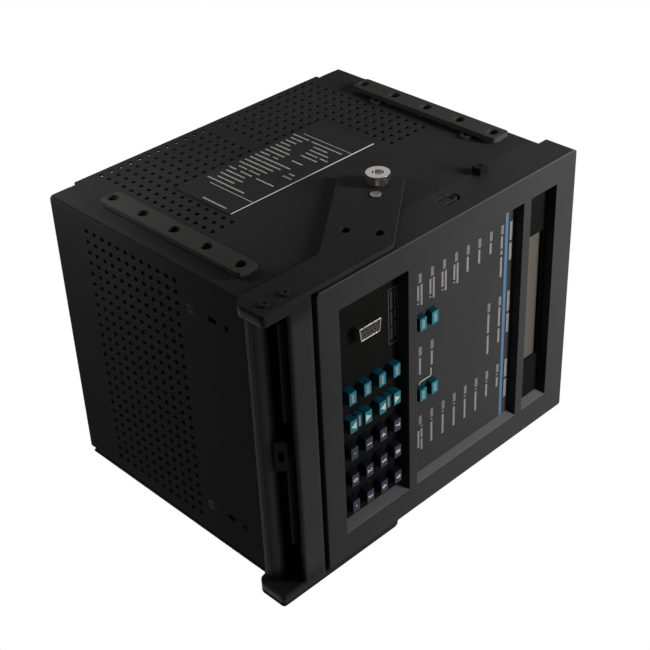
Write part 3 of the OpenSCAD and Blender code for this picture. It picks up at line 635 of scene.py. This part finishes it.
def nameplate_edge():
    """The cut front edge of the side plate, lifted a little, where its white core shows."""
    middle = (PLATE_LOW.z + PLATE_HIGH.z) / 2
    piece = bar((PLATE_LOW.x + 0.2 * MM, PLATE_LOW.y, middle),
                (0.5 * MM, 0.3 * MM, PLATE_HIGH.z - PLATE_LOW.z - 1.6 * MM), 0.08, 2)
    dress(piece, "nameplate_edge", bright_ink, "unit")


# Pieces beside the solids

def opening_ends():
    """The sloped right end of each opening in the bezel."""
    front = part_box("bezel")[0].y
    for node_name, run in (("keypad_plate", 2.3), ("led_panel", 1.9), ("display_window", 1.9)):
        low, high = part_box(node_name)
        edge = high.x - WELL_WALL * MM
        depth = (front + low.y) / 2
        piece = block((edge - run * MM / 2, depth, (low.z + high.z) / 2),
                      (run * MM, low.y - front - 0.2 * MM, high.z - low.z - 2 * (WELL_WALL + 0.05) * MM))
        bpy.ops.object.mode_set(mode="EDIT")
        bpy.ops.mesh.select_mode(type="EDGE")
        bpy.ops.mesh.select_all(action="DESELECT")
        bpy.ops.object.mode_set(mode="OBJECT")
        points = piece.data.vertices
        for side in piece.data.edges:
            ends = [points[i].co for i in side.vertices]
            side.select = all(end.x < edge - 0.6 * run * MM and end.y < depth for end in ends)
        bpy.ops.object.mode_set(mode="EDIT")
        bpy.ops.mesh.bevel(offset_type="PERCENT", offset_pct=96, segments=1, affect="EDGES")
        bpy.ops.object.mode_set(mode="OBJECT")
        # The slopes take the lighter copy of the bezel plastic: a painted highlight
        dress(piece, node_name + "_slope", slope_painted_light, "unit")


def leaf_spring():
    """The latch's leaf spring, a copy of its solid with lightly bevelled edges."""
    leaf = bpy.data.objects.new("leaf", nodes["latch_spring"].data.copy())
    bpy.context.collection.objects.link(leaf)
    deselect()
    leaf.select_set(True)
    bpy.context.view_layer.objects.active = leaf
    edge = leaf.modifiers.new("edge", "BEVEL")
    edge.width = 0.05 * MM
    edge.segments = 2
    bpy.ops.object.modifier_apply(modifier=edge.name)
    dress(leaf, "latch_spring_leaf", nickel, "handle")
    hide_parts("latch_spring")
    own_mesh(leaf)


def edge_seals():
    """Moulded strips along the ends of the apron, which close the slit behind each arm."""
    low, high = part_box("front_plate")
    for name, side in (("edge_seal_left", low.x), ("edge_seal_right", high.x)):
        outward = math.copysign(0.3 * MM, side)
        piece = bar((side + outward, low.y + 0.55 * MM, low.z + 14.0 * MM), (1.4 * MM, 1.0 * MM, 25.6 * MM), 0.25, 3)
        bpy.ops.object.shade_smooth_by_angle(angle=SMOOTH)
        dress(piece, name, nylon, "unit")


def insulating_sheet():
    """Black sheet on the inside of the right panel, between its lower vents and the boards."""
    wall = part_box("right_side_panel")[0].x
    piece = bar((wall - 0.5 * MM, 57 * MM, 53 * MM), (0.6 * MM, 42 * MM, 32 * MM), 0.12, 2)
    bpy.ops.object.shade_smooth_by_angle(angle=SMOOTH)
    dress(piece, "insulating_sheet", nylon, "unit")


make_keys()
leaf_spring()
edge_seals()
insulating_sheet()
opening_ends()
key_print()
scroll_bridges()
indicator_print()
port_label()
nameplate_print()
nameplate_edge()


# Stage, lights and camera

def studio_floor():
    """A pale floor at the foot, seen from above only, which lets light through from below."""
    deselect()
    bpy.ops.mesh.primitive_plane_add(size=6, location=(0, 0, 0))
    floor = bpy.context.object
    floor.name = "floor"
    material, tree, shader, _ = new_material("pale studio floor")
    shader.inputs["Base Color"].default_value = srgb("#e8e8e8")
    shader.inputs["Roughness"].default_value = 0.8
    under = add(tree, "ShaderNodeNewGeometry").outputs["Backfacing"]
    clear = add(tree, "ShaderNodeBsdfTransparent")
    mix = add(tree, "ShaderNodeMixShader", None, {"Fac": under, 1: shader.outputs["BSDF"], 2: clear.outputs["BSDF"]})
    tree.links.new(mix.outputs["Shader"], tree.nodes["Material Output"].inputs["Surface"])
    floor.data.materials.append(material)
    floor.visible_shadow = False
    floor.visible_diffuse = False
    floor.visible_glossy = False


def white_surroundings(ambient):
    """A world that is white to the eye and in reflections, and a soft grey light elsewhere."""
    world = bpy.data.worlds.new("studio")
    bpy.context.scene.world = world
    world.use_nodes = True
    tree = world.node_tree
    path = add(tree, "ShaderNodeLightPath")
    direct = add(tree, "ShaderNodeMath", {"operation": "MAXIMUM"}, {0: path.outputs["Is Camera Ray"],
                                                                    1: path.outputs["Is Transmission Ray"]})
    seen = add(tree, "ShaderNodeMath", {"operation": "MAXIMUM"}, {0: direct.outputs["Value"],
                                                                  1: path.outputs["Is Glossy Ray"]})
    level = add(tree, "ShaderNodeMapRange", None, {"Value": seen.outputs["Value"], "To Min": ambient, "To Max": 1.0})
    tree.nodes["Background"].inputs["Color"].default_value = (1, 1, 1, 1)
    tree.links.new(level.outputs["Result"], tree.nodes["Background"].inputs["Strength"])


def lamp(name, place, aim, size, watts):
    """A soft square lamp that points at a place."""
    light = bpy.data.lights.new(name, "AREA")
    light.size = size
    light.energy = watts
    holder = bpy.data.objects.new(name, light)
    bpy.context.collection.objects.link(holder)
    holder.location = place
    holder.rotation_euler = (Vector(aim) - Vector(place)).to_track_quat("-Z", "Y").to_euler()
    holder.visible_camera = False


CAMERA_PLACE = Vector((-475.17, -535.74, -367.06)) * MM
CAMERA_RIGHT = Vector((0.0387, -0.7020, 0.7111))
CAMERA_DOWN = Vector((0.8295, -0.3743, -0.4146))
CAMERA_AHEAD = Vector((0.5572, 0.6059, 0.5678))
LENS, SENSOR = 77.08, 36
AMBIENT = 0.04


def photo_camera():
    """The photograph's viewpoint: from the lower left front, with the unit lying on its right side."""
    lens = bpy.data.cameras.new("camera")
    lens.sensor_width = SENSOR
    lens.lens = LENS
    lens.clip_start = 0.01
    holder = bpy.data.objects.new("camera", lens)
    bpy.context.collection.objects.link(holder)
    turn = Matrix((CAMERA_RIGHT, -CAMERA_DOWN, -CAMERA_AHEAD)).transposed().to_4x4()
    holder.matrix_world = Matrix.Translation(CAMERA_PLACE) @ turn
    bpy.context.scene.camera = holder


studio_floor()
white_surroundings(AMBIENT)
lamp("key", (-0.287, -0.576, 0.46), (-0.10, -0.25, 0.70), 0.3, 7.7)
lamp("rear fill", (-0.20, 0.12, -0.056), (0, 0.08, 0.05), 0.12, 0.17)
photo_camera()
bpy.context.scene.view_settings.view_transform = "Standard"
